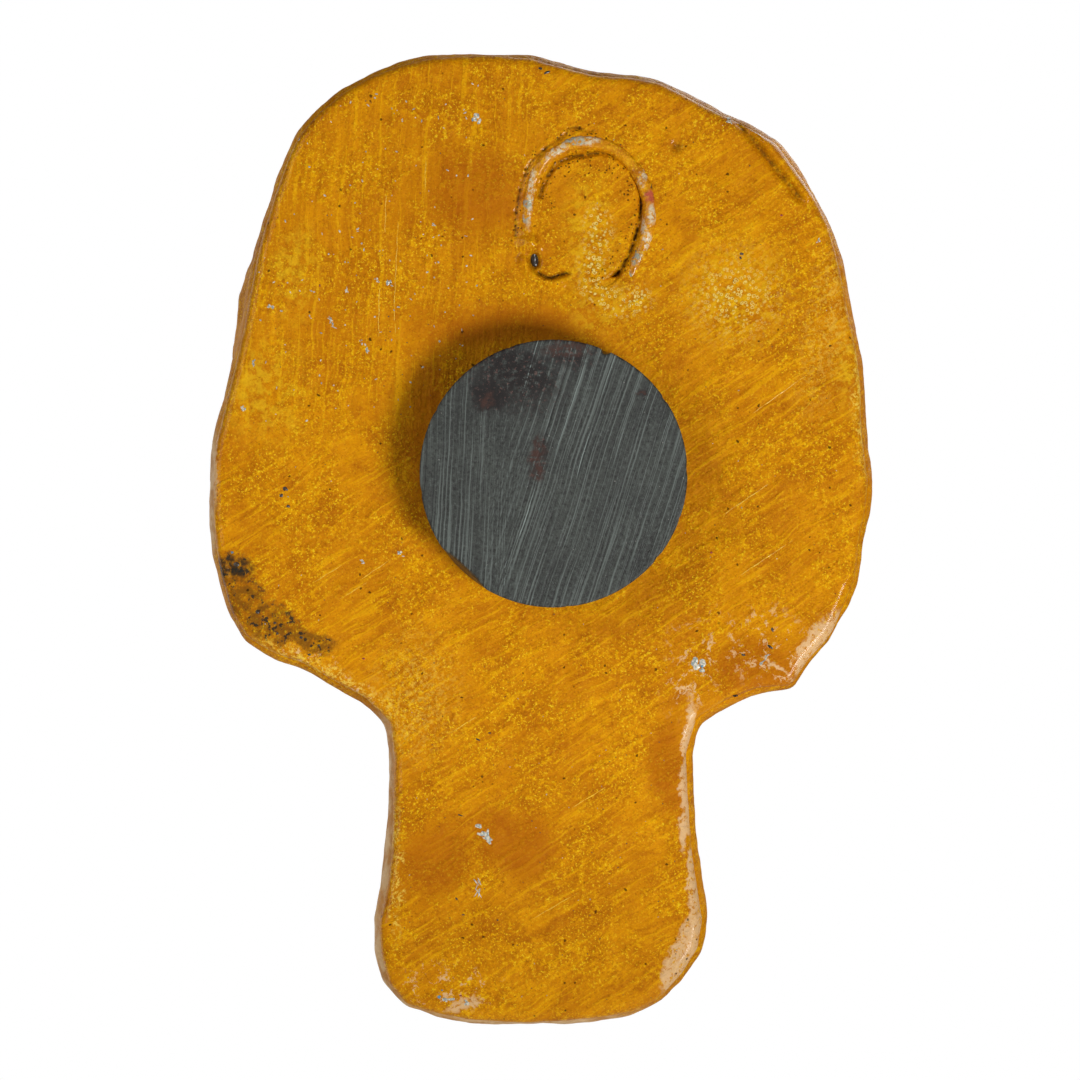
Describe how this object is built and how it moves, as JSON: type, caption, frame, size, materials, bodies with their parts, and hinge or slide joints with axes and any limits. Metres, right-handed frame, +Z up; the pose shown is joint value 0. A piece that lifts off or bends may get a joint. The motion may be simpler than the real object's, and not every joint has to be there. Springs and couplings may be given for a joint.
{
  "type": "calavera magnet plaque",
  "caption": "Painted paper-pulp calavera with a rose and flowers in relief, a wire hanging loop and a ferrite magnet on its flat back.",
  "frame": {"origin": "centre of the magnet's free face", "axes": "+Z up the figure, from chin to crown; the face looks along -Y and the flat back and the magnet look along +Y; +X is to the right of someone who looks at the face"},
  "size_m": [0.0506, 0.0215, 0.074],
  "materials": {
    "painted_pulp": "gloss varnish over ochre paint on paper pulp",
    "card": "raw grey-brown card",
    "ferrite": "ground, dark grey",
    "glue": "set clear adhesive, amber",
    "wire": "bare mild steel under paint",
    "paint_teal": "gloss paint",
    "paint_ivory": "gloss paint",
    "paint_red": "gloss paint",
    "paint_pink": "gloss paint",
    "paint_green": "gloss paint",
    "paint_blue": "gloss paint"
  },
  "bodies": {
    "root": {"head_body": "painted_pulp", "card_former": "card", "back_layer": "painted_pulp", "magnet": "ferrite", "magnet_glue": "glue", "hanging_loop": "wire", "loop_patch": "painted_pulp", "eye_petal_left_1": "paint_teal", "eye_petal_left_2": "paint_red", "eye_petal_left_3": "paint_teal", "eye_petal_left_4": "paint_red", "eye_petal_left_5": "paint_teal", "eye_petal_left_6": "paint_red", "eye_petal_left_7": "paint_teal", "eye_petal_left_8": "paint_red", "brow_left": "paint_blue", "cheek_coil_left": "paint_pink", "eye_petal_right_1": "paint_teal", "eye_petal_right_2": "paint_red", "eye_petal_right_3": "paint_teal", "eye_petal_right_4": "paint_red", "eye_petal_right_5": "paint_teal", "eye_petal_right_6": "paint_red", "eye_petal_right_7": "paint_teal", "eye_petal_right_8": "paint_red", "brow_right": "paint_blue", "cheek_coil_right": "paint_pink", "upper_tooth_1": "paint_ivory", "upper_tooth_2": "paint_ivory", "upper_tooth_3": "paint_ivory", "upper_tooth_4": "paint_ivory", "upper_tooth_5": "paint_ivory", "upper_tooth_6": "paint_ivory", "lower_tooth_1": "paint_ivory", "lower_tooth_2": "paint_ivory", "lower_tooth_3": "paint_ivory", "lower_tooth_4": "paint_ivory", "lower_tooth_5": "paint_ivory", "lower_tooth_6": "paint_ivory", "rose_outer_petal_1": "paint_red", "rose_outer_petal_2": "paint_red", "rose_outer_petal_3": "paint_red", "rose_outer_petal_4": "paint_red", "rose_outer_petal_5": "paint_red", "rose_bud": "paint_red", "rose_inner_petal_1": "paint_pink", "rose_inner_petal_2": "paint_pink", "rose_inner_petal_3": "paint_pink", "rose_leaf_1": "paint_green", "rose_leaf_2": "paint_green", "rose_leaf_3": "paint_green", "crown_daisy": "paint_blue", "crown_daisy_bead": "paint_ivory", "temple_daisy": "paint_pink", "temple_daisy_bead": "paint_ivory", "chin_daisy": "paint_teal", "chin_daisy_bead": "paint_ivory"}
  },
  "joints": []
}
